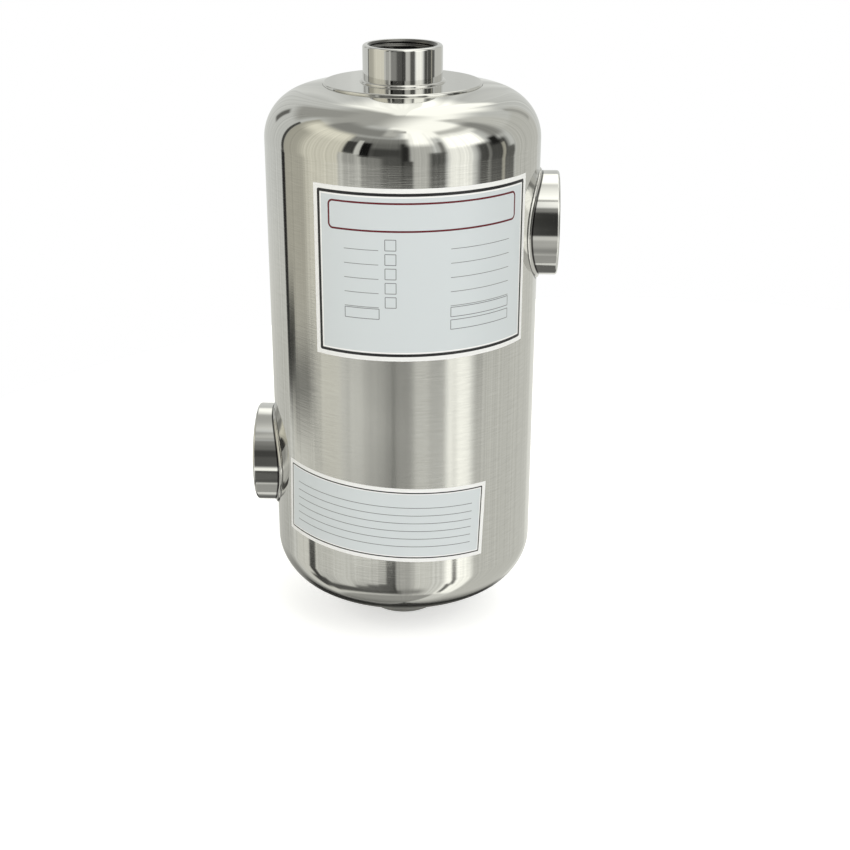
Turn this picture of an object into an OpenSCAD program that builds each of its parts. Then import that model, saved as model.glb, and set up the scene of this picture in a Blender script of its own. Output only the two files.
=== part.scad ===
// Shell and tube heat exchanger in stainless steel, standing upright on its lower socket.
// Heating water runs through the tubes from the top socket to the bottom one.
// The water to be heated crosses the tubes, in at the lower side port and out at the upper one.
// The origin is at the middle of the bottom socket's rim, +Z runs up the vessel,
// the upper port faces +X and the lower port faces -X.

/* [Shell] */
// Outside diameter of the barrel and of the heads
shell_d = 140; // [130:1:170]
// Sheet thickness of the barrel and of the heads
wall_t = 1.5; // [1:0.1:2.5]
// Length of the straight barrel between the heads
barrel_l = 220; // [205:1:320]

/* [Heads] */
// Radius of the knuckle that turns from the barrel into the crown
knuckle_r = 24.5; // [18:0.5:28]
// Radius of the shallow crown
crown_r = 215; // [150:5:300]
// Diameter of the flat disc that closes each head
disc_d = 80; // [66:1:86]
// Height of the disc's face above the edge of the crown
disc_step = 1.2; // [0.6:0.1:2]
// Chamfer on the outer edge of the disc
disc_chamfer = 0.4; // [0.1:0.1:0.5]

/* [Heating water sockets] */
// Outside diameter of the sockets in the end discs
socket_d = 40; // [38:0.5:48]
// Diameter at the bottom of the one inch pipe thread
socket_thread_d = 33.25; // [30:0.05:34]
// Length of a socket outside its disc
socket_out = 18; // [14:1:30]
// Length of a socket inside its disc
socket_in = 5; // [2:0.5:8]

/* [Side ports] */
// Outside diameter of the side ports
port_d = 53.4; // [50:0.2:60]
// Diameter at the bottom of the one and a half inch pipe thread
port_thread_d = 47.8; // [42:0.1:48]
// Distance from the barrel's side to the face of a port
port_out = 10; // [8:0.5:24]
// Length of a port inside the barrel, measured from where its own sides pass through the wall
port_in = 1.2; // [0.5:0.1:4]
// Distance from the end of the barrel to the axis of the nearer port
port_end = 44; // [40:0.5:60]

/* [Tube bundle] */
// Outside diameter of a tube
tube_d = 10; // [8:0.5:11]
// Wall thickness of a tube
tube_wall_t = 0.6; // [0.4:0.1:1]
// Distance between the axes of neighbouring tubes
tube_pitch = 16; // [15:0.25:17]
// Length of a tube that stands out of each tube sheet
tube_stub = 2; // [0.5:0.5:4]
// Thickness of the tube sheets
sheet_t = 4; // [3:0.5:6]
// Distance from the end of the barrel to the outer face of a tube sheet
sheet_inset = 6.5; // [5:0.5:8]
// Thickness of the baffles
baffle_t = 1.5; // [1:0.1:3]
// Height between a port and the baffle nearest to it
baffle_port_gap = 11.3; // [6:0.1:20]

/* [Welds and fits] */
// Gap at the root of each welded joint
weld_gap = 0.1; // [0.05:0.05:0.3]
// Gap between a tube and the hole that it passes through
tube_gap = 0.15; // [0.05:0.05:0.3]
// Gap between a baffle and the barrel
baffle_gap = 0.5; // [0.3:0.1:0.9]
// Leg of the fillet welds round the sockets and ports
weld_leg = 1.6; // [1:0.1:2.4]
// Chamfer on the outer edge of the sockets and ports
edge_chamfer = 0.8; // [0.3:0.1:1.2]
// Chamfer that leads into the threads
thread_chamfer = 1.2; // [0.4:0.1:1.6]

/* [Hidden] */
$fn = 128;
shell_r = shell_d / 2;
inner_r = shell_r - wall_t;
disc_r = disc_d / 2;
port_r = port_d / 2;

// A head is a knuckle ring that meets a spherical crown on the line through both centres.
crown_drop = sqrt(pow(crown_r - knuckle_r, 2) - pow(shell_r - knuckle_r, 2));
head_h = sqrt(crown_r * crown_r - disc_r * disc_r) - crown_drop;
knuckle_turn = atan2(crown_drop, shell_r - knuckle_r);
disc_t = wall_t + disc_step;

// Heights up the vessel
bottom_disc_z = socket_out;
barrel_z = bottom_disc_z + disc_step + head_h;
barrel_top_z = barrel_z + barrel_l;
top_disc_z = barrel_top_z + head_h + disc_step;
middle_z = barrel_z + barrel_l / 2;
upper_port_z = barrel_top_z - port_end;
lower_port_z = barrel_z + port_end;

// A port starts inside the barrel, where its own sides have passed through the wall.
port_start = sqrt(inner_r * inner_r - port_r * port_r) - port_in;
port_face = shell_r + port_out;

// Tubes stand in rows on a triangular pitch: four, five, six, seven, six, five and four to a row.
row_count = 7;
row_pitch = tube_pitch * sqrt(3) / 2;
lower_sheet_z = barrel_z + sheet_inset;
upper_sheet_z = barrel_top_z - sheet_inset - sheet_t;
tube_start_z = lower_sheet_z - tube_stub;
tube_l = upper_sheet_z + sheet_t + tube_stub - tube_start_z;

// Three baffles share the height between the ports. Each is cut off halfway between the last two rows
// of tubes, on one side and then on the other.
baffle_pitch = (upper_port_z - lower_port_z - port_d) / 2 - baffle_port_gap;
baffle_r = inner_r - baffle_gap;
baffle_edge = 2.5 * row_pitch;

steel = "silver";
bright_steel = "gainsboro";
dull_steel = "darkgray";
sink = 1; // length by which a cutting shape runs past the face that it cuts

// Turns a shape that is drawn pointing up at the origin towards one side port.
module at_port(z, side) {
    translate([0, 0, z]) rotate([0, side * 90, 0]) children();
}

// Places a shape that is drawn for the upper end, standing on z = 0, at the upper or the lower end.
module at_top(z) {
    translate([0, 0, z]) children();
}

module at_bottom(z) {
    translate([0, 0, z]) mirror([0, 0, 1]) children();
}

// Rolled and seam welded barrel, with a round hole for each side port.
module barrel() {
    color(steel) difference() {
        translate([0, 0, barrel_z]) cylinder(r = shell_r, h = barrel_l);
        translate([0, 0, barrel_z - sink]) cylinder(r = inner_r, h = barrel_l + 2 * sink);
        at_port(upper_port_z, 1) cylinder(r = port_r + weld_gap, h = shell_r + sink);
        at_port(lower_port_z, -1) cylinder(r = port_r + weld_gap, h = shell_r + sink);
    }
}

// Half section of a head, filled to the axis, with every surface moved inwards by the inset.
module head_section(inset) {
    wedge_x = 2 * shell_r;
    wedge_y = wedge_x * tan(knuckle_turn);
    intersection() {
        union() {
            translate([shell_r - knuckle_r, 0]) circle(r = knuckle_r - inset);
            intersection() {
                translate([0, -crown_drop]) circle(r = crown_r - inset);
                polygon([[0, 0], [shell_r - knuckle_r, 0], [shell_r - knuckle_r + wedge_x, wedge_y],
                         [0, wedge_y]]);
            }
        }
        square([shell_r, shell_r]);
    }
}

// Pressed dished head with a round opening for the end disc.
module head() {
    color(steel) rotate_extrude() difference() {
        head_section(0);
        head_section(wall_t);
        translate([-sink, -sink]) square([disc_r + weld_gap + sink, crown_r]);
    }
}

// Flat disc that fills the head's opening and stands a little proud of it, bored for the socket.
module end_disc() {
    hole_r = socket_d / 2 + weld_gap;
    color(bright_steel) rotate_extrude() polygon([
        [hole_r, -disc_t],
        [disc_r, -disc_t],
        [disc_r, -disc_chamfer],
        [disc_r - disc_chamfer, 0],
        [hole_r, 0]
    ]);
}

// Turned socket with a bored thread, drawn from z = start up to z = end. Its outer end is chamfered.
module turned_socket(outer_d, bore_d, start, end) {
    outer_r = outer_d / 2;
    bore_r = bore_d / 2;
    color(bright_steel) rotate_extrude() polygon([
        [bore_r, start],
        [outer_r, start],
        [outer_r, end - edge_chamfer],
        [outer_r - edge_chamfer, end],
        [bore_r + thread_chamfer, end],
        [bore_r, end - thread_chamfer]
    ]);
}

module end_socket() {
    turned_socket(socket_d, socket_thread_d, -disc_t - socket_in, socket_out);
}

// Rounded fillet weld that runs round a socket, on the face of its end disc.
module end_socket_weld() {
    color(bright_steel) rotate_extrude() intersection() {
        translate([socket_d / 2, 0]) circle(r = weld_leg);
        translate([socket_d / 2 + weld_gap, 0]) square(weld_leg);
    }
}

module side_port() {
    turned_socket(port_d, port_thread_d, port_start, port_face);
}

// Fillet weld that follows the saddle where a round port meets the round barrel.
module side_port_weld(z, side) {
    color(bright_steel) intersection() {
        at_port(z, side) difference() {
            cylinder(r1 = port_r + weld_leg + port_face - shell_r, r2 = port_r, h = port_face);
            translate([0, 0, -sink]) cylinder(r = port_r + weld_gap, h = port_face + 2 * sink);
        }
        translate([0, 0, middle_z - barrel_l / 2]) difference() {
            cylinder(r = shell_r + weld_leg, h = barrel_l);
            translate([0, 0, -sink]) cylinder(r = shell_r + weld_gap, h = barrel_l + 2 * sink);
        }
    }
}

// Number of tubes in a row that is counted from 1, and the place of each tube across the barrel.
function tubes_in_row(row) = row_count - abs(row - (row_count + 1) / 2);
function row_x(row) = (row - (row_count + 1) / 2) * row_pitch;
function tube_y(row, i) = (i - (tubes_in_row(row) - 1) / 2) * tube_pitch;

module along_row(row) {
    for (i = [0 : tubes_in_row(row) - 1])
        translate([row_x(row), tube_y(row, i), 0]) children();
}

module tube_holes(h) {
    for (row = [1 : row_count])
        along_row(row) translate([0, 0, -sink]) cylinder(d = tube_d + 2 * tube_gap, h = h + 2 * sink);
}

module tube_sheet(z) {
    color(dull_steel) translate([0, 0, z]) difference() {
        cylinder(r = inner_r - weld_gap, h = sheet_t);
        tube_holes(sheet_t);
    }
}

// Baffle with one side cut off, so that the water turns round it. Side is 1 to cut at +X, or -1.
module baffle(z, side) {
    window = 2 * shell_r;
    color(dull_steel) translate([0, 0, z - baffle_t / 2]) difference() {
        cylinder(r = baffle_r, h = baffle_t);
        tube_holes(baffle_t);
        translate([side * (baffle_edge + window / 2), 0, baffle_t / 2]) cube(window, center = true);
    }
}

module tube_row(row) {
    color(dull_steel) along_row(row) translate([0, 0, tube_start_z]) difference() {
        cylinder(d = tube_d, h = tube_l);
        translate([0, 0, -sink]) cylinder(d = tube_d - 2 * tube_wall_t, h = tube_l + 2 * sink);
    }
}

barrel();
at_top(barrel_top_z) head();  // top_head
at_bottom(barrel_z) head();  // bottom_head
at_top(top_disc_z) end_disc();  // top_end_disc
at_bottom(bottom_disc_z) end_disc();  // bottom_end_disc
at_top(top_disc_z) end_socket();  // top_socket
at_bottom(bottom_disc_z) end_socket();  // bottom_socket
at_top(top_disc_z) end_socket_weld();  // top_socket_weld
at_bottom(bottom_disc_z) end_socket_weld();  // bottom_socket_weld
at_port(upper_port_z, 1) side_port();  // upper_port
at_port(lower_port_z, -1) side_port();  // lower_port
side_port_weld(upper_port_z, 1);  // upper_port_weld
side_port_weld(lower_port_z, -1);  // lower_port_weld
tube_sheet(upper_sheet_z);  // top_tube_sheet
tube_sheet(lower_sheet_z);  // bottom_tube_sheet
baffle(middle_z - baffle_pitch, 1);  // lower_baffle
baffle(middle_z, -1);  // middle_baffle
baffle(middle_z + baffle_pitch, 1);  // upper_baffle
tube_row(1);  // tube_row_1
tube_row(2);  // tube_row_2
tube_row(3);  // tube_row_3
tube_row(4);  // tube_row_4
tube_row(5);  // tube_row_5
tube_row(6);  // tube_row_6
tube_row(7);  // tube_row_7
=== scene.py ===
import math

import bmesh
import bpy
from mathutils import Matrix, Vector


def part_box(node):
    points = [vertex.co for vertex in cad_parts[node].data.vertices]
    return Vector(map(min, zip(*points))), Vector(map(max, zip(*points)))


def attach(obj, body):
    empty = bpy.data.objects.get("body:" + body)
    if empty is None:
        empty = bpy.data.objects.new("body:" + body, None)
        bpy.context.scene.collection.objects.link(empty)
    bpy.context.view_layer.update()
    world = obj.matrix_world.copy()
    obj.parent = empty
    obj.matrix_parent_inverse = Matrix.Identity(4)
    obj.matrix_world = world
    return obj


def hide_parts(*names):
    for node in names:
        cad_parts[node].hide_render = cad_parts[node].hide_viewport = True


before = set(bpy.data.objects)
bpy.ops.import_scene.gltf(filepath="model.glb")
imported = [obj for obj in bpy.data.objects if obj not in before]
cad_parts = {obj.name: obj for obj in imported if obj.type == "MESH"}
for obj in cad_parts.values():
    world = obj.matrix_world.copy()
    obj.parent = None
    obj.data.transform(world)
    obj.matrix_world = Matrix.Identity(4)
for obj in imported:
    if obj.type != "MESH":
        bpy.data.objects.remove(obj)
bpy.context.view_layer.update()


# Tubes: seven rows of drawn stainless tube that carry the heating water from end to end.
# They are cut to one length and expanded into the tube sheets.
# The drawing die leaves fine lines along them.
def place(tree, kind, inputs=None, **settings):
    """Adds a node: settings are its own properties, and an input is a value or another node's output."""
    made = tree.nodes.new(kind)
    for name, value in settings.items():
        setattr(made, name, value)
    for name, value in (inputs or {}).items():
        if isinstance(value, bpy.types.NodeSocket):
            tree.links.new(value, made.inputs[name])
        else:
            made.inputs[name].default_value = value
    return made


def new_group(name, inputs, outputs):
    """A shader node group with these sockets, with the two nodes that stand for its inputs and outputs."""
    tree = bpy.data.node_groups.new(name, "ShaderNodeTree")
    for socket, kind in inputs.items():
        tree.interface.new_socket(socket, in_out="INPUT", socket_type=kind)
    for socket, kind in outputs.items():
        tree.interface.new_socket(socket, in_out="OUTPUT", socket_type=kind)
    return tree, tree.nodes.new("NodeGroupInput").outputs, tree.nodes.new("NodeGroupOutput").inputs


grain, grain_in, grain_out = new_group(
    "steel_grain",
    {
        "Spot": "NodeSocketVector",
        "Lines Per Metre": "NodeSocketVector",
        "Clouds Per Metre": "NodeSocketFloat",
    },
    {"Lines": "NodeSocketFloat", "Furrows": "NodeSocketFloat", "Clouds": "NodeSocketFloat"},
)
drawn_out = place(
    grain,
    "ShaderNodeVectorMath",
    {0: grain_in["Spot"], 1: grain_in["Lines Per Metre"]},
    operation="MULTIPLY",
).outputs[0]
lines = place(
    grain, "ShaderNodeTexNoise", {"Vector": drawn_out, "Scale": 1.0, "Detail": 3.0, "Roughness": 0.65}
)
furrows = place(grain, "ShaderNodeTexNoise", {"Vector": drawn_out, "Scale": 1.0, "Detail": 0.0})
clouds = place(
    grain,
    "ShaderNodeTexNoise",
    {"Vector": grain_in["Spot"], "Scale": grain_in["Clouds Per Metre"], "Detail": 2.0},
)
grain.links.new(lines.outputs["Fac"], grain_out["Lines"])
grain.links.new(furrows.outputs["Fac"], grain_out["Furrows"])
grain.links.new(clouds.outputs["Fac"], grain_out["Clouds"])


def mixed(tree, share, first, second):
    """A colour between two others, with this share of the second."""
    return place(tree, "ShaderNodeMix", {0: share, 6: first, 7: second}, data_type="RGBA").outputs[2]


least_grain = 0.7
most_grain = 1.3


def steel(name, dark, light, smooth, rough, lines_per_metre, clouds_per_metre, line_depth):
    """Bare stainless steel: its grain changes its colour and roughness and, by line_depth, its surface."""
    material = bpy.data.materials.new(name)
    material.use_nodes = True
    tree = material.node_tree
    shader = tree.nodes["Principled BSDF"]
    shader.inputs["Metallic"].default_value = 1.0
    marks = place(
        tree,
        "ShaderNodeGroup",
        {
            "Spot": place(tree, "ShaderNodeTexCoord").outputs["Object"],
            "Lines Per Metre": lines_per_metre,
            "Clouds Per Metre": clouds_per_metre,
        },
        node_tree=grain,
        name="grain",
    )
    tone = mixed(tree, marks.outputs["Lines"], (*dark, 1.0), (*light, 1.0))
    tree.links.new(tone, shader.inputs["Base Color"])
    both = place(
        tree, "ShaderNodeMath", {0: marks.outputs["Lines"], 1: marks.outputs["Clouds"]}, operation="ADD"
    )
    dullness = place(
        tree,
        "ShaderNodeMapRange",
        {
            "Value": both.outputs[0],
            "From Min": least_grain,
            "From Max": most_grain,
            "To Min": smooth,
            "To Max": rough,
        },
    )
    tree.links.new(dullness.outputs["Result"], shader.inputs["Roughness"])
    furrows = place(
        tree,
        "ShaderNodeBump",
        {"Strength": 1.0, "Distance": line_depth, "Height": marks.outputs["Furrows"]},
    )
    tree.links.new(furrows.outputs["Normal"], shader.inputs["Normal"])
    return material


def give_finish(node, material):
    """Gives a solid of the frame its finish."""
    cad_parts[node].data.materials.clear()
    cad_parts[node].data.materials.append(material)


tube_steel = steel(
    "drawn_tube_steel",
    dark=(0.46, 0.455, 0.44),
    light=(0.60, 0.595, 0.58),
    smooth=0.24,
    rough=0.42,
    lines_per_metre=(1800, 1800, 12),
    clouds_per_metre=60,
    line_depth=0.00001,
)
tube_rows = 7
for row in range(1, tube_rows + 1):
    give_finish(f"tube_row_{row}", tube_steel)


# Tube sheets and baffles: round plates cut from rolled stainless plate and drilled for the tubes.
# The sheets are welded to the barrel, and the baffles hang on the tubes and send the water across them.
plate_steel = steel(
    "rolled_plate_steel",
    dark=(0.44, 0.435, 0.42),
    light=(0.57, 0.565, 0.55),
    smooth=0.28,
    rough=0.48,
    lines_per_metre=(30, 1500, 1500),
    clouds_per_metre=45,
    line_depth=0.00001,
)
for plate in ("top_tube_sheet", "bottom_tube_sheet", "lower_baffle", "middle_baffle", "upper_baffle"):
    give_finish(plate, plate_steel)


# Barrel: stainless sheet rolled into a tube, with its seam ground away and a hole cut for each side port.
# It is brushed round and round with a fine belt, and buffed brighter towards its ends, at its two sides and
# most of all where the ports are welded in. Painted shade darkens a thin line along each port weld's toe.
barrel_low, barrel_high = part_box("barrel")
film_thickness = 0.00006
skin_radius = barrel_high.x - film_thickness
sheet_thickness = 0.0015
round_steps = 256


def ring_mesh(name, section_at, steps):
    """A closed skin swept once round: section_at gives the points of its closed section at an angle."""
    points = []
    for step in range(steps):
        points.extend(section_at(2 * math.pi * step / steps))
    count = len(points) // steps
    faces = []
    for step in range(steps):
        here = step * count
        there = (step + 1) % steps * count
        for side in range(count):
            ahead = (side + 1) % count
            faces.append((here + side, there + side, there + ahead, here + ahead))
    mesh = bpy.data.meshes.new(name)
    mesh.from_pydata(points, [], faces)
    shell = bmesh.new()
    shell.from_mesh(mesh)
    bmesh.ops.recalc_face_normals(shell, faces=shell.faces)
    shell.to_mesh(mesh)
    shell.free()
    mesh.shade_smooth()
    return mesh


def turned(name, outline_at, steps=round_steps):
    """A piece turned about Z: outline_at gives its closed outline of radius and height at an angle."""
    return ring_mesh(
        name,
        lambda angle: [(r * math.cos(angle), r * math.sin(angle), h) for r, h in outline_at(angle)],
        steps,
    )


def put_in(mesh, material, slot, *nodes):
    """Puts a new piece on the vessel in place of the plain solids that it stands for."""
    piece = bpy.data.objects.new(mesh.name, mesh)
    bpy.context.scene.collection.objects.link(piece)
    if not mesh.materials:
        mesh.materials.append(material)
    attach(piece, "root")
    if nodes:
        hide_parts(*nodes)
    return piece


barrel_outline = [
    (skin_radius - sheet_thickness, barrel_low.z),
    (skin_radius, barrel_low.z),
    (skin_radius, barrel_high.z),
    (skin_radius - sheet_thickness, barrel_high.z),
]
barrel_mesh = turned("barrel_sheet", lambda angle: barrel_outline)
blank = bpy.data.objects.new("barrel_blank", barrel_mesh)
bpy.context.scene.collection.objects.link(blank)
port_places = {}
for port in ("upper_port", "lower_port"):
    port_low, port_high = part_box(port)
    port_side = math.copysign(1, port_high.x + port_low.x)
    port_places[port] = (port_side, (port_low.z + port_high.z) / 2, (port_high.y - port_low.y) / 2)
hole_clearance = 0.0001
hole_depth = 0.04
hole_steps = 160
sheet_edge_angle = math.radians(35)
cutters = []
for port_side, port_height, port_radius in port_places.values():
    hole_place = Matrix.Translation((port_side * skin_radius, 0, port_height))
    cutter_mesh = bpy.data.meshes.new("hole_cutter")
    drill = bmesh.new()
    bmesh.ops.create_cone(
        drill,
        cap_ends=True,
        segments=hole_steps,
        radius1=port_radius + hole_clearance,
        radius2=port_radius + hole_clearance,
        depth=hole_depth,
        matrix=hole_place @ Matrix.Rotation(math.pi / 2, 4, "Y"),
    )
    drill.to_mesh(cutter_mesh)
    drill.free()
    cutter = bpy.data.objects.new("hole_cutter", cutter_mesh)
    bpy.context.scene.collection.objects.link(cutter)
    cut = blank.modifiers.new("port_hole", "BOOLEAN")
    cut.operation = "DIFFERENCE"
    cut.solver = "EXACT"
    cut.object = cutter
    cutters.append(cutter)
cut_mesh = bpy.data.meshes.new_from_object(blank.evaluated_get(bpy.context.evaluated_depsgraph_get()))
for scrap in (blank, *cutters):
    bpy.data.objects.remove(scrap)
cut_mesh.name = "barrel_sheet"
cut_mesh.shade_smooth()
cut_mesh.set_sharp_from_angle(angle=sheet_edge_angle)


def reckon(tree, operation, first, second):
    """The output of a Math node."""
    return place(tree, "ShaderNodeMath", {0: first, 1: second}, operation=operation).outputs[0]


def ramp(tree, value, start, end, low, high):
    """A value that goes smoothly from low at start to high at end, and stays there past them."""
    ranged = place(
        tree,
        "ShaderNodeMapRange",
        {"Value": value, "From Min": start, "From Max": end, "To Min": low, "To Max": high},
        interpolation_type="SMOOTHSTEP",
        clamp=False,
    )
    return ranged.outputs["Result"]


def parts_of(tree, vector):
    """The X, Y and Z of a vector."""
    return place(tree, "ShaderNodeSeparateXYZ", {"Vector": vector}).outputs


def length_of(tree, vector):
    """The length of a vector."""
    return place(tree, "ShaderNodeVectorMath", {0: vector}, operation="LENGTH").outputs["Value"]


quarter_turn = 0.25
buffed_share = 0.12
faintest_furrow = 0.3
half_buffed = 0.55
polish_start = 0.6
polish_end = 0.85
buffing, buffing_in, buffing_out = new_group(
    "steel_buffing",
    {"Buffed": "NodeSocketFloat", "Dullness": "NodeSocketFloat", "Furrows": "NodeSocketFloat"},
    {"Dullness": "NodeSocketFloat", "Furrows": "NodeSocketFloat"},
)
keener = ramp(buffing, buffing_in["Buffed"], 0.0, 1.0, 1.0, buffed_share)
broad_gloss = ramp(buffing, buffing_in["Buffed"], 0.0, half_buffed, faintest_furrow, 1.0)
polished_away = ramp(buffing, buffing_in["Buffed"], polish_start, polish_end, 1.0, 0.0)
fainter = reckon(buffing, "MINIMUM", broad_gloss, polished_away)
buffing.links.new(reckon(buffing, "MULTIPLY", buffing_in["Dullness"], keener), buffing_out["Dullness"])
buffing.links.new(reckon(buffing, "MULTIPLY", buffing_in["Furrows"], fainter), buffing_out["Furrows"])


def brushed_round(material, buffed):
    """Stretches the gloss across lines that run round Z, and makes it keener where the buffed mask is 1."""
    tree = material.node_tree
    shader = tree.nodes["Principled BSDF"]
    shader.inputs["Anisotropic"].default_value = 1.0
    shader.inputs["Anisotropic Rotation"].default_value = quarter_turn
    round_axis = place(tree, "ShaderNodeTangent", direction_type="RADIAL", axis="Z")
    tree.links.new(round_axis.outputs["Tangent"], shader.inputs["Tangent"])
    furrows = shader.inputs["Normal"].links[0].from_node
    wheel = place(
        tree,
        "ShaderNodeGroup",
        {
            "Buffed": buffed,
            "Dullness": shader.inputs["Roughness"].links[0].from_socket,
            "Furrows": furrows.inputs["Height"].links[0].from_socket,
        },
        node_tree=buffing,
    )
    tree.links.new(wheel.outputs["Dullness"], shader.inputs["Roughness"])
    tree.links.new(wheel.outputs["Furrows"], furrows.inputs["Height"])


barrel_steel = steel(
    "brushed_barrel_steel",
    dark=(0.56, 0.558, 0.539),
    light=(0.75, 0.748, 0.726),
    smooth=0.19,
    rough=0.25,
    lines_per_metre=(110, 110, 2000),
    clouds_per_metre=20,
    line_depth=0.000013,
)
barrel_tree = barrel_steel.node_tree
on_barrel = place(barrel_tree, "ShaderNodeTexCoord").outputs["Object"]
barrel_parts = parts_of(barrel_tree, on_barrel)
barrel_middle = (barrel_low.z + barrel_high.z) / 2
barrel_half = (barrel_high.z - barrel_low.z) / 2
end_fade = 0.06
end_buff = 0.7
above_middle = reckon(barrel_tree, "SUBTRACT", barrel_parts["Z"], barrel_middle)
from_middle = reckon(barrel_tree, "ABSOLUTE", above_middle, 0)
near_ends = ramp(barrel_tree, from_middle, barrel_half - end_fade, barrel_half, 0.0, end_buff)
side_start = 0.030
side_end = 0.046
side_buff = 0.74
to_side = reckon(barrel_tree, "ABSOLUTE", barrel_parts["X"], 0)
near_sides = ramp(barrel_tree, to_side, side_start, side_end, 0.0, side_buff)
barrel_buffed = reckon(barrel_tree, "MAXIMUM", near_ends, near_sides)
port_buff_near = 0.020
port_buff_far = 0.046
for port_side, port_height, port_radius in port_places.values():
    port_middle = (port_side * skin_radius, 0, port_height)
    away = place(
        barrel_tree, "ShaderNodeVectorMath", {0: on_barrel, 1: port_middle}, operation="DISTANCE"
    ).outputs["Value"]
    near_port = ramp(barrel_tree, away, port_radius + port_buff_near, port_radius + port_buff_far, 1.0, 0.0)
    barrel_buffed = reckon(barrel_tree, "MAXIMUM", barrel_buffed, near_port)
brushed_round(barrel_steel, barrel_buffed)
# Painted shade: the steel's colour is dimmed to this share along the toe of a weld.
crevice_shade = 0.12
crevice, crevice_in, crevice_out = new_group(
    "weld_toe_painted_shade",
    {
        "Bare": "NodeSocketColor",
        "Gap": "NodeSocketFloat",
        "Narrow": "NodeSocketFloat",
        "Wide": "NodeSocketFloat",
    },
    {"Shaded": "NodeSocketColor"},
)
gap_width = reckon(crevice, "ABSOLUTE", crevice_in["Gap"], 0)
brightness = ramp(crevice, gap_width, crevice_in["Narrow"], crevice_in["Wide"], crevice_shade, 1.0)
dimmed = place(
    crevice, "ShaderNodeVectorMath", {0: crevice_in["Bare"], "Scale": brightness}, operation="SCALE"
)
crevice.links.new(dimmed.outputs["Vector"], crevice_out["Shaded"])


def paint_crevice_shade(material, gap, narrow, wide):
    """Paints shade along a weld's toe: darkest up to the narrow gap, and none past the wide one."""
    tree = material.node_tree
    colour = tree.nodes["Principled BSDF"].inputs["Base Color"]
    shadow = place(
        tree,
        "ShaderNodeGroup",
        {"Bare": colour.links[0].from_socket, "Gap": gap, "Narrow": narrow, "Wide": wide},
        node_tree=crevice,
    )
    tree.links.new(shadow.outputs["Shaded"], colour)


port_weld_reach = 0.0019
for port_side, port_height, port_radius in port_places.values():
    past_axis = reckon(barrel_tree, "MULTIPLY", barrel_parts["X"], port_side)
    from_port = place(
        barrel_tree,
        "ShaderNodeCombineXYZ",
        {
            "X": reckon(barrel_tree, "MINIMUM", past_axis, 0.0),
            "Y": barrel_parts["Y"],
            "Z": reckon(barrel_tree, "SUBTRACT", barrel_parts["Z"], port_height),
        },
    ).outputs[0]
    to_port_axis = length_of(barrel_tree, from_port)
    to_toe = reckon(barrel_tree, "SUBTRACT", to_port_axis, port_radius + port_weld_reach)
    paint_crevice_shade(barrel_steel, to_toe, narrow=0.0003, wide=0.0009)
put_in(cut_mesh, barrel_steel, "brushed_shell", "barrel")


# Heads: two discs of stainless sheet pressed into shallow dishes with a rounded knuckle.
# Each is welded to the barrel edge to edge, ground flush and polished until it mirrors the room.
knuckle_radius = 0.0245 - film_thickness
crown_radius = 0.215 - film_thickness
knuckle_centre = skin_radius - knuckle_radius
crown_tilt = math.asin(knuckle_centre / (crown_radius - knuckle_radius))
crown_drop = math.sqrt((crown_radius - knuckle_radius) ** 2 - knuckle_centre**2)
knuckle_steps = 40
crown_steps = 24


def dish_line(offset, hole):
    """Radius and height of the dish's skin, from its edge to its hole, moved inwards by the offset."""
    line = []
    for step in range(knuckle_steps + 1):
        angle = (math.pi / 2 - crown_tilt) * step / knuckle_steps
        reach = knuckle_radius - offset
        line.append((knuckle_centre + reach * math.cos(angle), reach * math.sin(angle)))
    hole_tilt = math.asin(hole / (crown_radius - offset))
    for step in range(1, crown_steps + 1):
        tilt = crown_tilt + (hole_tilt - crown_tilt) * step / crown_steps
        reach = crown_radius - offset
        line.append((reach * math.sin(tilt), reach * math.cos(tilt) - crown_drop))
    return line


head_steel = steel(
    "polished_head_steel",
    dark=(0.635, 0.633, 0.612),
    light=(0.667, 0.665, 0.644),
    smooth=0.19,
    rough=0.25,
    lines_per_metre=(110, 110, 2000),
    clouds_per_metre=20,
    line_depth=0.000013,
)


def from_z_axis(tree, parts):
    """How far a point lies from the Z axis."""
    level = place(tree, "ShaderNodeCombineXYZ", {"X": parts["X"], "Y": parts["Y"]}).outputs[0]
    return length_of(tree, level)


head_tree = head_steel.node_tree
on_head = place(head_tree, "ShaderNodeTexCoord").outputs["Object"]
head_parts = parts_of(head_tree, on_head)
above_barrel_middle = reckon(head_tree, "SUBTRACT", head_parts["Z"], barrel_middle)
from_barrel_middle = reckon(head_tree, "ABSOLUTE", above_barrel_middle, 0)
past_seam = reckon(head_tree, "SUBTRACT", from_barrel_middle, barrel_half)
up_dish = reckon(head_tree, "SUBTRACT", past_seam, from_z_axis(head_tree, head_parts))
round_dish = place(
    head_tree, "ShaderNodeCombineXYZ", {"X": head_parts["X"], "Y": head_parts["Y"], "Z": up_dish}
).outputs[0]
head_tree.links.new(round_dish, head_tree.nodes["grain"].inputs["Spot"])
knuckle_rise = 0.012
knuckle_buff = 0.82
crown_start = 0.014
crown_end = 0.0235
on_knuckle = ramp(head_tree, past_seam, 0.0, knuckle_rise, end_buff, knuckle_buff)
on_crown = ramp(head_tree, past_seam, crown_start, crown_end, 0.0, 1.0)
brushed_round(head_steel, reckon(head_tree, "MAXIMUM", on_knuckle, on_crown))
for head, disc, edge_height, up in (
    ("top_head", "top_end_disc", barrel_high.z, 1),
    ("bottom_head", "bottom_end_disc", barrel_low.z, -1),
):
    head_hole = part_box(disc)[1].x + hole_clearance
    outside = dish_line(0, head_hole)
    inside = dish_line(sheet_thickness, head_hole)
    dish_outline = [(r, edge_height + up * h) for r, h in outside + inside[::-1]]
    dish = turned(f"{head}_dish", lambda angle: dish_outline)
    dish.set_sharp_from_angle(angle=sheet_edge_angle)
    put_in(dish, head_steel, "polished_head", head)


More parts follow.
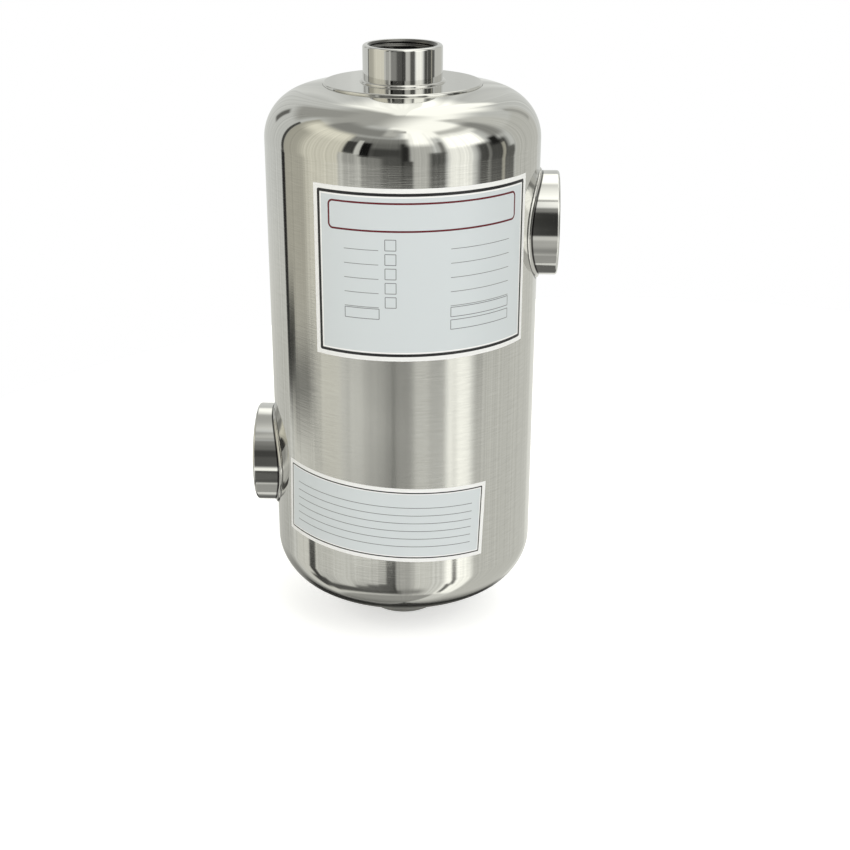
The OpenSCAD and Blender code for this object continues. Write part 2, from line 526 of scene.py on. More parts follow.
# End discs: flat rings turned from stainless plate, one in the middle of each head.
# Each is welded into the head's opening and polished with it, and stands a little proud of the dish,
# with its edge rounded over by the polishing wheel.
rounding_steps = 10


def rounded(corners):
    """The points of a closed outline whose corners are given as radius, height and rounding fillet."""
    points = []
    for index, (radius, height, fillet) in enumerate(corners):
        corner = Vector((radius, height))
        if fillet == 0:
            points.append((radius, height))
            continue
        back = (Vector(corners[index - 1][:2]) - corner).normalized()
        on = (Vector(corners[(index + 1) % len(corners)][:2]) - corner).normalized()
        half = back.angle(on) / 2
        middle = corner + (back + on).normalized() * fillet / math.sin(half)
        start = corner + back * fillet / math.tan(half) - middle
        end = corner + on * fillet / math.tan(half) - middle
        for step in range(rounding_steps + 1):
            points.append(tuple(middle + start.slerp(end, step / rounding_steps).normalized() * fillet))
    return points


def even_shading(piece):
    """Lets the broad faces of a turned piece stay flat beside their rounded edges."""
    piece.modifiers.new("even_shading", "WEIGHTED_NORMAL").keep_sharp = True


disc_rounding = 0.0011
turned_edge_angle = math.radians(50)
disc_steel = steel(
    "mirror_disc_steel",
    dark=(0.60, 0.598, 0.58),
    light=(0.70, 0.698, 0.68),
    smooth=0.035,
    rough=0.075,
    lines_per_metre=(300, 300, 300),
    clouds_per_metre=30,
    line_depth=0.0000004,
)
for disc, socket, up in (("top_end_disc", "top_socket", 1), ("bottom_end_disc", "bottom_socket", -1)):
    disc_low, disc_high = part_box(disc)
    disc_radius = disc_high.x
    hole_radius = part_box(socket)[1].x + hole_clearance
    thickness = disc_high.z - disc_low.z
    face = disc_high.z if up > 0 else disc_low.z
    disc_outline = rounded(
        [
            (hole_radius, face - up * thickness, 0),
            (disc_radius, face - up * thickness, 0),
            (disc_radius, face, disc_rounding),
            (hole_radius, face, 0),
        ]
    )
    disc_mesh = turned(f"{disc}_plate", lambda angle: disc_outline)
    disc_mesh.set_sharp_from_angle(angle=turned_edge_angle)
    even_shading(put_in(disc_mesh, disc_steel, "polished_head", disc))


# End sockets: turned from stainless bar, mirror polished outside, with an inch pipe thread cut inside.
# Each is pushed through its end disc and welded all round.
thread_pitch = 0.002309
thread_depth = 0.00148
rim_rounding = 0.0013
thread_chamfer = 0.0009
chamfer_rounding = 0.0003
steps_per_thread = 10
socket_steps = 192


def threaded_socket(name, outer, bore, start, end):
    """A socket along Z from start to its rim at end, with a rounded thread that stands in from the bore."""
    rings = int((end - thread_chamfer - start) / thread_pitch * steps_per_thread)

    def outline(angle):
        points = rounded(
            [
                (bore, start, 0),
                (outer, start, 0),
                (outer, end, rim_rounding),
                (bore + thread_chamfer, end, chamfer_rounding),
                (bore, end - thread_chamfer, 0),
            ]
        )[1:]
        for ring in range(1, rings + 1):
            height = end - thread_chamfer + (start - end + thread_chamfer) * ring / (rings + 1)
            turn = height / thread_pitch - angle / (2 * math.pi)
            to_nearest_end = min(end - thread_chamfer - height, height - start)
            lead_in = min(1, to_nearest_end / thread_pitch)
            ridge = thread_depth * lead_in * (0.5 - 0.5 * math.cos(2 * math.pi * turn))
            points.append((bore - ridge, height))
        return points

    mesh = turned(name, outline, steps=socket_steps)
    mesh.set_sharp_from_angle(angle=turned_edge_angle)
    mesh.materials.append(socket_steel)
    mesh.materials.append(bore_shade_thread_steel)
    for face in mesh.polygons:
        if face.center.xy.length < bore + thread_chamfer / 2:
            face.material_index = 1
    return mesh


socket_steel = steel(
    "mirror_socket_steel",
    dark=(0.68, 0.678, 0.665),
    light=(0.73, 0.728, 0.715),
    smooth=0.045,
    rough=0.085,
    lines_per_metre=(15, 15, 3000),
    clouds_per_metre=40,
    line_depth=0.0000003,
)
# The side ports share this steel, and have the painted shade along the outer toe of their welds.
socket_tree = socket_steel.node_tree
on_socket = place(socket_tree, "ShaderNodeTexCoord").outputs["Object"]
from_vessel_axis = from_z_axis(socket_tree, parts_of(socket_tree, on_socket))
port_weld_rise = 0.0014
to_port_toe = reckon(socket_tree, "SUBTRACT", from_vessel_axis, skin_radius + port_weld_rise)
paint_crevice_shade(socket_steel, to_port_toe, narrow=0.0002, wide=0.0006)
# Dull cut steel, painted much darker as shade inside the deep bore.
bore_shade_thread_steel = steel(
    "cut_thread_steel",
    dark=(0.09, 0.089, 0.086),
    light=(0.20, 0.198, 0.192),
    smooth=0.20,
    rough=0.34,
    lines_per_metre=(40, 40, 4000),
    clouds_per_metre=120,
    line_depth=0.000002,
)
socket_bore = 0.016625
for socket, up in (("top_socket", 1), ("bottom_socket", -1)):
    socket_low, socket_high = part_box(socket)
    reach = socket_high.z - socket_low.z
    socket_mesh = threaded_socket(f"{socket}_threaded", socket_high.x, socket_bore, 0, reach)
    if up > 0:
        socket_mesh.transform(Matrix.Translation((0, 0, socket_low.z)))
    else:
        socket_mesh.transform(Matrix.Translation((0, 0, socket_high.z)) @ Matrix.Rotation(math.pi, 4, "X"))
    even_shading(put_in(socket_mesh, socket_steel, "turned_socket", socket))


# Socket welds: a bead of stainless laid round each end socket where it meets its disc.
# They are brushed and polished, so that only a faint ripple of the bead is left.
weld_leg = 0.0016
weld_rise = 0.0012
ripple_depth = 0.012
ripple_lag = 1.4
ripples = 58
steps_per_ripple = 8
bead_steps = 10
bead_edge_angle = math.radians(60)
weld_steel = steel(
    "polished_weld_steel",
    dark=(0.60, 0.595, 0.58),
    light=(0.70, 0.695, 0.68),
    smooth=0.05,
    rough=0.11,
    lines_per_metre=(300, 300, 300),
    clouds_per_metre=160,
    line_depth=0.000001,
)


def bead_section(angle, waves):
    """The bead's skin across and above its root, from toe to toe, with its ripple at this angle."""
    section = []
    for step in range(bead_steps + 1):
        lean = math.pi / 2 * step / bead_steps
        lag = ripple_lag * math.sin(2 * lean)
        swell = 1 - ripple_depth * math.sin(2 * lean) * (0.5 + 0.5 * math.cos(waves * angle - lag))
        section.append((weld_leg * swell * math.cos(lean), weld_rise * swell * math.sin(lean)))
    return section


for socket, disc, up in (("top_socket", "top_end_disc", 1), ("bottom_socket", "bottom_end_disc", -1)):
    socket_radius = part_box(socket)[1].x
    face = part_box(disc)[1].z if up > 0 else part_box(disc)[0].z

    def bead_outline(angle):
        bead = [(socket_radius + out, face + up * rise) for out, rise in bead_section(angle, ripples)]
        return [(socket_radius, face)] + bead

    bead_mesh = turned(f"{socket}_bead", bead_outline, steps=ripples * steps_per_ripple)
    bead_mesh.set_sharp_from_angle(angle=bead_edge_angle)
    put_in(bead_mesh, weld_steel, "weld_bead", f"{socket}_weld")


# Side ports: turned from heavy stainless bar and mirror polished, with a pipe thread of one and a half
# inches inside. Each is set into its hole in the barrel, one high on the right and one low on the left.
port_bore = 0.0239
for port, (port_side, port_height, port_radius) in port_places.items():
    port_low, port_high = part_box(port)
    inner_end = min(abs(port_low.x), abs(port_high.x))
    outer_end = max(abs(port_low.x), abs(port_high.x))
    port_mesh = threaded_socket(f"{port}_threaded", port_radius, port_bore, inner_end, outer_end)
    port_mesh.transform(
        Matrix.Translation((0, 0, port_height)) @ Matrix.Rotation(port_side * math.pi / 2, 4, "Y")
    )
    even_shading(put_in(port_mesh, socket_steel, "turned_socket", port))


# Port welds: a bead that follows the saddle line where each round port meets the round barrel.
# Like the socket welds they are brushed and polished bright.
port_ripples = 78
for port, (port_side, port_height, port_radius) in port_places.items():

    def saddle_section(angle):
        points = []
        for out, rise in [(0, 0)] + bead_section(angle, port_ripples):
            across = (port_radius + out) * math.cos(angle)
            above = (port_radius + out) * math.sin(angle)
            away = math.sqrt(skin_radius**2 - across**2) + rise
            points.append((port_side * away, across, port_height + above))
        return points

    saddle_mesh = ring_mesh(f"{port}_bead", saddle_section, port_ripples * steps_per_ripple)
    saddle_mesh.set_sharp_from_angle(angle=bead_edge_angle)
    put_in(saddle_mesh, weld_steel, "weld_bead", f"{port}_weld")


# Labels: two thin self-adhesive films on the front of the barrel, with a white edge, a printed border and
# a silver field. The upper one is a blank form with an empty heading and boxes to tick and to fill in, and
# the lower one has plain rules.
box_print, print_in, print_out = new_group(
    "printed_box",
    {
        "Across": "NodeSocketFloat",
        "Up": "NodeSocketFloat",
        "Left": "NodeSocketFloat",
        "Right": "NodeSocketFloat",
        "Bottom": "NodeSocketFloat",
        "Top": "NodeSocketFloat",
        "Corner": "NodeSocketFloat",
        "Line": "NodeSocketFloat",
    },
    {"Ink": "NodeSocketFloat", "Inside": "NodeSocketFloat"},
)
past_edge = []
for along, low, high in (("Across", "Left", "Right"), ("Up", "Bottom", "Top")):
    both_sides = reckon(box_print, "ADD", print_in[low], print_in[high])
    centre = reckon(box_print, "MULTIPLY", both_sides, 0.5)
    full_width = reckon(box_print, "SUBTRACT", print_in[high], print_in[low])
    half_width = reckon(box_print, "MULTIPLY", full_width, 0.5)
    from_centre = reckon(box_print, "ABSOLUTE", reckon(box_print, "SUBTRACT", print_in[along], centre), 0)
    straight = reckon(box_print, "SUBTRACT", half_width, print_in["Corner"])
    past_edge.append(reckon(box_print, "SUBTRACT", from_centre, straight))
outside_x = reckon(box_print, "MAXIMUM", past_edge[0], 0)
outside_y = reckon(box_print, "MAXIMUM", past_edge[1], 0)
square_x = reckon(box_print, "MULTIPLY", outside_x, outside_x)
square_y = reckon(box_print, "MULTIPLY", outside_y, outside_y)
corner_reach = reckon(box_print, "SQRT", reckon(box_print, "ADD", square_x, square_y), 0)
within = reckon(box_print, "MINIMUM", reckon(box_print, "MAXIMUM", past_edge[0], past_edge[1]), 0)
to_edge = reckon(box_print, "SUBTRACT", reckon(box_print, "ADD", corner_reach, within), print_in["Corner"])
half_line = reckon(box_print, "MULTIPLY", print_in["Line"], 0.5)
off_line = reckon(box_print, "SUBTRACT", reckon(box_print, "ABSOLUTE", to_edge, 0), half_line)
ink_edge = 0.04
for past_print, mask in ((off_line, "Ink"), (to_edge, "Inside")):
    printed = place(
        box_print,
        "ShaderNodeMapRange",
        {"Value": past_print, "From Min": -ink_edge, "From Max": ink_edge, "To Min": 1.0, "To Max": 0.0},
    )
    box_print.links.new(printed.outputs["Result"], print_out[mask])
white_edge = (0.88, 0.88, 0.88)
silver_field = (0.635, 0.675, 0.70)
black_ink = (0.012, 0.012, 0.014)
red_ink = (0.12, 0.008, 0.016)
grey_ink = (0.16, 0.165, 0.175)
duller_white = [0.97 * part for part in white_edge]
border_corner = 0.3
key_corner = 0.2
film_smooth = 0.30
film_rough = 0.42
least_cloud = 0.3
most_cloud = 0.7
pebble_depth = 0.000002
film_edge_angle = math.radians(40)
mm = 0.001


def label_film(name, width, height, edge, border_line, border_ink, key_line, boxes):
    """A printed film. A box on its field is given as left, right, bottom, top, corner, line and ink."""
    material = bpy.data.materials.new(name)
    material.use_nodes = True
    tree = material.node_tree
    shader = tree.nodes["Principled BSDF"]
    sheet = place(tree, "ShaderNodeUVMap", uv_map="sheet").outputs["UV"]
    sheet_parts = parts_of(tree, sheet)

    def drawn(left, right, bottom, top, corner, line):
        return place(
            tree,
            "ShaderNodeGroup",
            {
                "Across": sheet_parts["X"],
                "Up": sheet_parts["Y"],
                "Left": left,
                "Right": right,
                "Bottom": bottom,
                "Top": top,
                "Corner": corner,
                "Line": line,
            },
            node_tree=box_print,
        )

    def framed(inset, corner, line):
        across = width / 2 - inset
        up = height / 2 - inset
        return drawn(-across, across, -up, up, corner, line)

    def over(under, colour, mask):
        return mixed(tree, mask, under, (*colour, 1.0))

    marks = place(
        tree,
        "ShaderNodeGroup",
        {
            "Spot": place(tree, "ShaderNodeTexCoord").outputs["Object"],
            "Lines Per Metre": (700, 700, 700),
            "Clouds Per Metre": 30,
        },
        node_tree=grain,
    )
    paper = mixed(tree, marks.outputs["Clouds"], (*duller_white, 1.0), (*white_edge, 1.0))
    border = framed(edge, border_corner, border_line)
    colour = over(paper, silver_field, border.outputs["Inside"])
    colour = over(colour, border_ink, border.outputs["Ink"])
    key_box = framed(edge + border_line / 2 + key_line / 2, key_corner, key_line)
    colour = over(colour, white_edge, key_box.outputs["Ink"])
    for left, right, bottom, top, corner, line, box_ink in boxes:
        colour = over(colour, box_ink, drawn(left, right, bottom, top, corner, line).outputs["Ink"])
    tree.links.new(colour, shader.inputs["Base Color"])
    gloss = place(
        tree,
        "ShaderNodeMapRange",
        {
            "Value": marks.outputs["Clouds"],
            "From Min": least_cloud,
            "From Max": most_cloud,
            "To Min": film_smooth,
            "To Max": film_rough,
        },
    )
    tree.links.new(gloss.outputs["Result"], shader.inputs["Roughness"])
    pebble = place(
        tree,
        "ShaderNodeBump",
        {"Strength": 1.0, "Distance": pebble_depth, "Height": marks.outputs["Lines"]},
    )
    tree.links.new(pebble.outputs["Normal"], shader.inputs["Normal"])
    shader.inputs["Specular IOR Level"].default_value = 0.45
    return material


def label_sheet(name, turn, middle, width, height, tilt):
    """A film, in millimetres, bent round the barrel at this turn from the front and tilted in its plane."""
    columns = 72
    rows = 24
    points = []
    places = []
    for radius in (barrel_high.x, skin_radius):
        for row in range(rows + 1):
            for column in range(columns + 1):
                across = width * (column / columns - 0.5)
                up = height * (row / rows - 0.5)
                places.append((across, up))
                arc = turn + (across * math.cos(tilt) - up * math.sin(tilt)) * mm / barrel_high.x
                level = middle + (across * math.sin(tilt) + up * math.cos(tilt)) * mm
                points.append((radius * math.sin(arc), -radius * math.cos(arc), level))
    stride = columns + 1
    under = stride * (rows + 1)
    faces = []
    for row in range(rows):
        for column in range(columns):
            first = row * stride + column
            faces.append((first, first + 1, first + stride + 1, first + stride))
            faces.append(tuple(under + corner for corner in reversed(faces[-1])))
    for column in range(columns):
        top = rows * stride + column
        faces.append((column + 1, column, column + under, column + 1 + under))
        faces.append((top, top + 1, top + 1 + under, top + under))
    for row in range(rows):
        left = row * stride
        right = left + columns
        faces.append((left, left + stride, left + stride + under, left + under))
        faces.append((right + stride, right, right + under, right + stride + under))
    mesh = bpy.data.meshes.new(name)
    mesh.from_pydata(points, [], faces)
    layer = mesh.uv_layers.new(name="sheet")
    for corner in mesh.loops:
        layer.uv[corner.index].vector = places[corner.vertex_index]
    mesh.shade_smooth()
    mesh.set_sharp_from_angle(angle=film_edge_angle)
    return mesh


upper_size = (117.8, 85.5)
upper_turn = math.radians(13.9)
upper_middle = 0.21201
ticks = 5
tick_pitch = 7.1
tick_size = 5.3
first_tick_top = 18.2
tick_sides = (-21.7, -16.4)
name_sides = (-42.0, -25.0)
value_sides = (10.5, 45.0)
small_corner = 0.2
box_line = 0.35
rule_line = 0.3
upper_boxes = [
    (-50.1, 48.9, 22.2, 35.6, 2.2, 0.95, red_ink),
    (-42.0, -24.7, -21.4, -16.2, small_corner, box_line, grey_ink),
    (*value_sides, -21.1, -16.3, small_corner, box_line, grey_ink),
    (*value_sides, -27.5, -22.7, small_corner, box_line, grey_ink),
]
for tick in range(ticks):
    tick_top = first_tick_top - tick * tick_pitch
    tick_foot = tick_top - tick_size
    upper_boxes.append((*tick_sides, tick_foot, tick_top, small_corner, box_line, grey_ink))
    upper_boxes.append((*name_sides, tick_foot, tick_foot, 0.0, rule_line, grey_ink))
    upper_boxes.append((*value_sides, tick_foot, tick_foot, 0.0, rule_line, grey_ink))
upper_film = label_film(
    "upper_label_film",
    *upper_size,
    edge=3.0,
    border_line=1.5,
    border_ink=black_ink,
    key_line=0.8,
    boxes=upper_boxes,
)
upper_sheet = label_sheet("upper_label", upper_turn, upper_middle, *upper_size, tilt=0.0)
put_in(upper_sheet, upper_film, "label_film")

lower_size = (116.2, 41.5)
lower_turn = math.radians(-7.9)
lower_middle = 0.08046
lower_tilt = math.radians(-2.8)
rules = 6
rule_pitch = 4.4
first_rule = 10.0
rule_sides = (-50.0, 50.0)
lower_boxes = []
for rule in range(rules):
    rule_height = first_rule - rule_pitch * rule
    lower_boxes.append((*rule_sides, rule_height, rule_height, 0.0, box_line, grey_ink))
lower_film = label_film(
    "lower_label_film",
    *lower_size,
    edge=2.4,
    border_line=0.7,
    border_ink=black_ink,
    key_line=0.5,
    boxes=lower_boxes,
)
lower_sheet = label_sheet("lower_label", lower_turn, lower_middle, *lower_size, tilt=lower_tilt)
put_in(lower_sheet, lower_film, "label_film")


# Floor: a plain pale table top, painted matt white, that the vessel stands on. It takes the soft shadow,
# and glows a little for the camera, so that it runs into the white backdrop. It is one-sided, so that the
# vessel shows from below, and the steel mirrors the studio's own pale lower panels in its place.
floor_radius = 0.60
floor_middle = (0.18, -0.03, 0)
floor_glow = 0.50


def stage_disc(name, radius, middle, steps):
    """A flat round piece of the stage, and the nodes of its new paint."""
    mesh = bpy.data.meshes.new(name)
    flat = bmesh.new()
    bmesh.ops.create_circle(
        flat, cap_ends=True, segments=steps, radius=radius, matrix=Matrix.Translation(middle)
    )
    flat.to_mesh(mesh)
    flat.free()
    disc = bpy.data.objects.new(name, mesh)
    bpy.context.scene.collection.objects.link(disc)
    paint = bpy.data.materials.new(f"{name}_paint")
    paint.use_nodes = True
    mesh.materials.append(paint)
    return disc, paint.node_tree


floor, floor_tree = stage_disc("floor", floor_radius, floor_middle, steps=128)
floor_shader = floor_tree.nodes["Principled BSDF"]
floor_cloud = place(floor_tree, "ShaderNodeTexNoise", {"Scale": 3.0, "Detail": 2.0})
floor_tone = mixed(floor_tree, floor_cloud.outputs["Fac"], (0.80, 0.80, 0.80, 1.0), (0.82, 0.82, 0.82, 1.0))
floor_tree.links.new(floor_tone, floor_shader.inputs["Base Color"])
floor_shader.inputs["Roughness"].default_value = 0.6
seen_by = place(floor_tree, "ShaderNodeLightPath")
glow_on_camera = reckon(floor_tree, "MULTIPLY", seen_by.outputs["Is Camera Ray"], floor_glow)
floor_shader.inputs["Emission Color"].default_value = (1.0, 1.0, 1.0, 1.0)
floor_tree.links.new(glow_on_camera, floor_shader.inputs["Emission Strength"])
from_below = place(floor_tree, "ShaderNodeNewGeometry").outputs["Backfacing"]
floor_tree.links.new(reckon(floor_tree, "SUBTRACT", 1.0, from_below), floor_shader.inputs["Alpha"])
floor.visible_glossy = False


# Floor shade: a disc of painted shadow under the vessel, a little paler in the middle, and faintly glowing.
# It lies just below the floor, and only the steel shows it, as a mirror image round the vessel's foot.
shade_radius = 0.08
shade_middle = (0, 0, -0.0002)
shade_glow = 0.5
pale_start = 0.028
pale_end = 0.055
shade_start = 0.052
shade_end = 0.078
shade, shade_tree = stage_disc("floor_shade", shade_radius, shade_middle, steps=64)
shade_shader = shade_tree.nodes["Principled BSDF"]
shade_reach = length_of(shade_tree, place(shade_tree, "ShaderNodeTexCoord").outputs["Object"])
paler = ramp(shade_tree, shade_reach, pale_start, pale_end, 1.0, 0.0)
shade_tone = mixed(shade_tree, paler, (0.02, 0.02, 0.019, 1.0), (0.24, 0.24, 0.225, 1.0))
shade_tree.links.new(shade_tone, shade_shader.inputs["Base Color"])
shade_tree.links.new(shade_tone, shade_shader.inputs["Emission Color"])
shade_shader.inputs["Emission Strength"].default_value = shade_glow
shade_edge = ramp(shade_tree, shade_reach, shade_start, shade_end, 1.0, 0.0)
shade_tree.links.new(shade_edge, shade_shader.inputs["Alpha"])
shade.visible_camera = False
shade.visible_diffuse = False
shade.visible_shadow = False


# Studio: white for the camera, and for the steel a room of soft panels and dark gaps all round.
# A panel is given by its turns from the front, positive to the right, and its rises above the horizon,
# all in degrees, and then by how soft its edge is, how bright it is and its tint.
world = bpy.data.worlds.new("studio")
bpy.context.scene.world = world
world.use_nodes = True
# The steel's own mirrored rays find the panels, so the world isn't sampled as a lamp.
world.cycles.sampling_method = "NONE"
studio = world.node_tree
studio.nodes.clear()
direction = place(studio, "ShaderNodeTexCoord").outputs["Generated"]
heading = parts_of(studio, direction)
front = reckon(studio, "MULTIPLY", heading["Y"], -1.0)
turn_angle = reckon(studio, "DEGREES", reckon(studio, "ARCTAN2", heading["X"], front), 0)
rise_angle = reckon(studio, "DEGREES", reckon(studio, "ARCSINE", heading["Z"], 0), 0)


def step_up(value, at, soft):
    """0 below this angle and 1 above it, with a soft step between."""
    stepped = place(
        studio,
        "ShaderNodeMapRange",
        {"Value": value, "From Min": at - soft, "From Max": at + soft},
        interpolation_type="SMOOTHSTEP",
        clamp=False,
    )
    return stepped.outputs["Result"]


def between(value, start, end, soft):
    """1 between two angles and 0 outside them."""
    return reckon(studio, "SUBTRACT", step_up(value, start, soft), step_up(value, end, soft))


def panel(behind, turns, rises, soft, level, tint, cover=1.0):
    """The studio with one more panel in front of what was there, which it covers by this share."""
    across = between(turn_angle, *turns, soft)
    upright = between(rise_angle, *rises, soft)
    mask = reckon(studio, "MULTIPLY", reckon(studio, "MULTIPLY", across, upright), cover)
    colour = (*[level * part for part in tint], 1.0)
    return mixed(studio, mask, behind, colour)


plain = (1.0, 1.0, 0.93)
beige = (1.0, 0.97, 0.82)
ceiling_panels = (
    ((-190, -60), (50, 100), 8, 0.50, plain),
    ((-148, -118), (30, 62), 5, 0.42, plain),
    ((-142, -135), (9, 25), 2, 0.16, plain),
    ((-20, 190), (66, 100), 6, 1.5, plain),
    ((4, 90), (46, 100), 5, 1.5, plain),
    ((116, 190), (58, 100), 10, 1.5, plain),
    ((146, 190), (42, 100), 8, 1.55, plain),
    ((161, 190), (32, 100), 3, 1.55, plain),
    ((-190, -165), (36, 62), 6, 1.5, plain),
    ((-190, -168), (34, 74), 5, 1.4, plain),
    ((97, 117), (50, 80), 5, 0.72, plain),
    ((42, 96), (49, 59), 3.5, 0.72, plain),
    ((100, 128), (30, 62), 8, 0.72, plain),
)
left_wall_panels = (
    ((-111, -46), (-60, 48), 2, 0.50, beige),
    ((-88, -46), (-60, 48), 9, 0.82, beige),
    ((-104, -50), (32, 48), 7, 1.02, beige),
    ((-114, -110), (-60, 32), 1, 0.08, plain),
)
dark_front_panels = (
    ((-92, -4), (48, 66), 5, 0.32, plain),
    ((-19, -2), (51, 67), 4, 0.62, plain),
    ((-46, 10), (-60, 46), 3, 0.28, plain),
    ((-38, 8), (8, 36), 6, 0.19, plain),
    ((-24, 2), (4, 24), 4, 0.07, plain),
    ((-14, 2), (-16, 8), 4, 0.11, plain),
    ((-51, -35.5), (-60, 9), 1.5, 0.66, plain),
    ((-46, -35.5), (-60, 9), 2, 0.45, plain),
    ((-35.5, -30.5), (-60, 9), 1.2, 0.64, plain),
    ((-30.5, -16), (-60, 4), 3, 0.29, plain),
    ((-47.5, -37.5), (10, 34), 1.8, 0.06, plain),
    ((-33.5, -24), (5, 34.5), 2, 0.01, plain),
    ((-37.3, -32.7), (8, 38), 1, 0.75, plain),
    ((1, 9), (-60, 36), 3, 0.03, plain),
)
right_lamp_panels = (
    ((10, 28), (-60, 60), 3, 0.6, plain),
    ((4, 11.5), (-60, -2), 1.5, 0.08, plain),
    ((9, 30), (32, 66), 6, 1.6, plain),
    ((-10, 8), (60, 65), 1.5, 0.55, plain),
    ((34, 39.5), (10, 36), 2.5, 0.28, plain),
    ((24.5, 38.5), (-17, 14), 3, 0.12, plain),
    ((41, 61.5), (-60, 50), 4, 1.22, plain),
    ((42, 77), (21, 45), 4, 1.7, plain),
)
right_wall_panels = (
    ((67, 100), (-60, 20), 4, 0.09, plain),
    ((86, 104), (24, 60), 6, 0.33, plain),
    ((82, 92), (12, 27), 3, 0.02, plain),
    ((77, 80), (-60, 18), 1, 0.24, plain),
    ((92, 96), (-60, 12), 1, 0.42, beige),
    ((96, 107), (-60, 3), 1.5, 0.14, plain),
    ((108, 152), (-60, 30), 3, 0.65, plain),
    ((143, 148), (10, 34), 2, 0.45, plain),
)
low_panels = (
    ((-165, -117), (-60, -17), 4, 0.66, plain),
    ((-160, -122), (-66, -30), 10, 0.30, plain),
    ((-158, -134), (-70, -44), 5, 0.03, plain),
    ((-111, -84), (-20, -10), 5, 0.52, beige),
    ((-115.5, -110.5), (-21.6, -10), 1, 0.03, plain),
    ((-112, -103), (-21.6, -17.5), 1.2, 0.05, plain),
    ((-106, -72), (-22.4, -19.6), 1.4, 0.18, plain),
    ((-58, -30), (-40, -17), 10, 0.88, plain),
    ((-84, -10), (-48, -26), 5, 0.64, plain),
    ((-64, -46), (-48, -26), 4, 0.76, plain),
    ((-13, 11), (-60, -24), 6, 0.50, plain),
    ((-13, 11), (-24.5, -16.5), 2.5, 0.72, plain),
    ((-44, -7), (-25.5, -18.5), 2, 1.3, plain),
    ((41, 62), (-60, -17), 4, 1.55, plain),
    ((-93, -85), (-44, -26), 1.5, 0.06, plain),
    ((-102, -80), (-54, -39), 3, 0.08, plain),
    ((-90, 2), (-58, -46), 3, 0.12, plain),
    ((-2, 24), (-58, -44), 8, 0.30, plain),
    ((-12.5, -4), (-56, -25.5), 1.5, 0.09, plain),
    ((-20, -8), (-48, -30.5), 3, 0.14, plain),
    ((-32, -17), (-48, -34), 3, 0.16, plain),
    ((-46, -28), (-50, -40), 4, 0.18, plain),
    ((-120, 42), (-95, -62), 3, 0.40, plain),
    ((53, 68), (-62, -27), 4, 1.4, plain),
    ((47.5, 52), (-40, -26), 1.5, 0.22, plain),
    ((43, 49), (-58, -36), 2, 0.18, plain),
    ((74, 150), (-75, -17), 5, 0.70, plain),
    ((-190, -158), (-95, -42), 5, 0.16, plain),
    ((150, 190), (-95, -45), 4, 0.16, plain),
)
pale_floor_panel = ((-190, 190), (-95, -17), 5, 0.88, plain)
pale_floor_cover = 0.76
room = (0.71, 0.72, 0.69, 1.0)
for wall_panel in (
    *ceiling_panels,
    *left_wall_panels,
    *dark_front_panels,
    *right_lamp_panels,
    *right_wall_panels,
):
    room = panel(room, *wall_panel)
room = panel(room, *pale_floor_panel, cover=pale_floor_cover)
for low_panel in low_panels:
    room = panel(room, *low_panel)


def scaled(colour, level):
    """A colour made brighter or dimmer."""
    return place(studio, "ShaderNodeVectorMath", {0: colour, "Scale": level}, operation="SCALE").outputs[0]


# Straight overhead, where all turns meet, the ceiling goes from dim on the left to bright on the right.
dim_ceiling = 0.50
bright_ceiling = 1.5
ceiling_fade = 0.22
overhead_start = 67.0
overhead_end = 77.0
right_share = 0.94
front_share = 0.34
rightwards = reckon(studio, "MULTIPLY", heading["X"], right_share)
frontwards = reckon(studio, "MULTIPLY", front, front_share)
to_right = reckon(studio, "ADD", rightwards, frontwards)
overhead_level = ramp(studio, to_right, -ceiling_fade, ceiling_fade, dim_ceiling, bright_ceiling)
is_overhead = ramp(studio, rise_angle, overhead_start, overhead_end, 0.0, 1.0)
room = mixed(studio, is_overhead, room, scaled(plain, overhead_level))
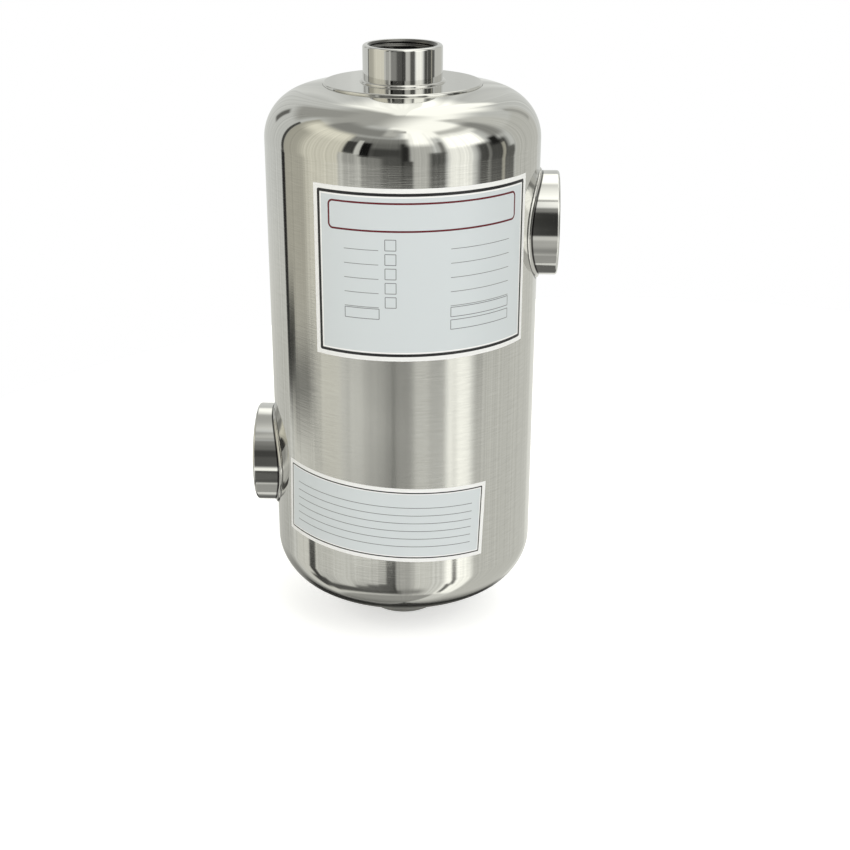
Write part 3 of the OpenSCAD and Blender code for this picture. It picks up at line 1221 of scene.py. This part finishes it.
# Narrow slats break up the panels, and fade out towards the ceiling.
slats_per_degree = 0.45
slat_contrast = 0.25
slats_fade = 35.0
slats_end = 60.0
slats = place(
    studio,
    "ShaderNodeTexNoise",
    {"W": turn_angle, "Scale": slats_per_degree, "Detail": 3.0},
    noise_dimensions="1D",
)
slat_depth = ramp(studio, rise_angle, slats_fade, slats_end, slat_contrast, 0.0)
slat_tone = place(
    studio,
    "ShaderNodeMapRange",
    {
        "Value": slats.outputs["Fac"],
        "To Min": reckon(studio, "SUBTRACT", 1.0, slat_depth),
        "To Max": reckon(studio, "ADD", 1.0, slat_depth),
    },
).outputs["Result"]
room = scaled(room, slat_tone)
in_steel = place(studio, "ShaderNodeBackground", {"Color": room, "Strength": 1.0}).outputs["Background"]
to_camera = place(studio, "ShaderNodeBackground", {"Color": (1.0, 1.0, 1.0, 1.0), "Strength": 1.0})
seen = place(studio, "ShaderNodeLightPath")
backdrop = place(
    studio,
    "ShaderNodeMixShader",
    {0: seen.outputs["Is Camera Ray"], 1: in_steel, 2: to_camera.outputs["Background"]},
)
place(studio, "ShaderNodeOutputWorld", {"Surface": backdrop.outputs["Shader"]})


# Fill lamps: two soft square lamps in front of the vessel and above it, one on either side of the camera.
# They light the labels and the floor, and the steel doesn't mirror them.
lamp_power = 9.0
lamp_size = 0.9
vessel_middle = Vector((0, 0, 0.15))
for name, at in (("left_fill", Vector((-0.9, -1.2, 1.1))), ("right_fill", Vector((1.0, -1.1, 1.2)))):
    lamp = bpy.data.lights.new(name, "AREA")
    lamp.energy = lamp_power
    lamp.size = lamp_size
    fill = bpy.data.objects.new(name, lamp)
    fill.location = at
    fill.rotation_euler = (vessel_middle - at).to_track_quat("-Z", "Y").to_euler()
    fill.visible_glossy = False
    fill.visible_camera = False
    bpy.context.scene.collection.objects.link(fill)


# Camera: three quarters of a metre in front of the vessel's axis, a little to the right of it and above it.
# It is turned slightly to the left and tilted down at the vessel, and everything is in focus.
camera_place = (0.0422, -0.7354, 0.4150)
camera_turn = math.radians(2.37)
camera_tilt = math.radians(22.73)
camera_roll = math.radians(0.21)
camera_data = bpy.data.cameras.new("camera")
camera_data.sensor_width = 36.0
camera_data.lens = 61.584
camera = bpy.data.objects.new("camera", camera_data)
bpy.context.scene.collection.objects.link(camera)
camera.matrix_world = (
    Matrix.Translation(camera_place)
    @ Matrix.Rotation(camera_turn, 4, "Z")
    @ Matrix.Rotation(math.pi / 2 - camera_tilt, 4, "X")
    @ Matrix.Rotation(camera_roll, 4, "Z")
)
bpy.context.scene.camera = camera
bpy.context.scene.view_settings.view_transform = "Standard"
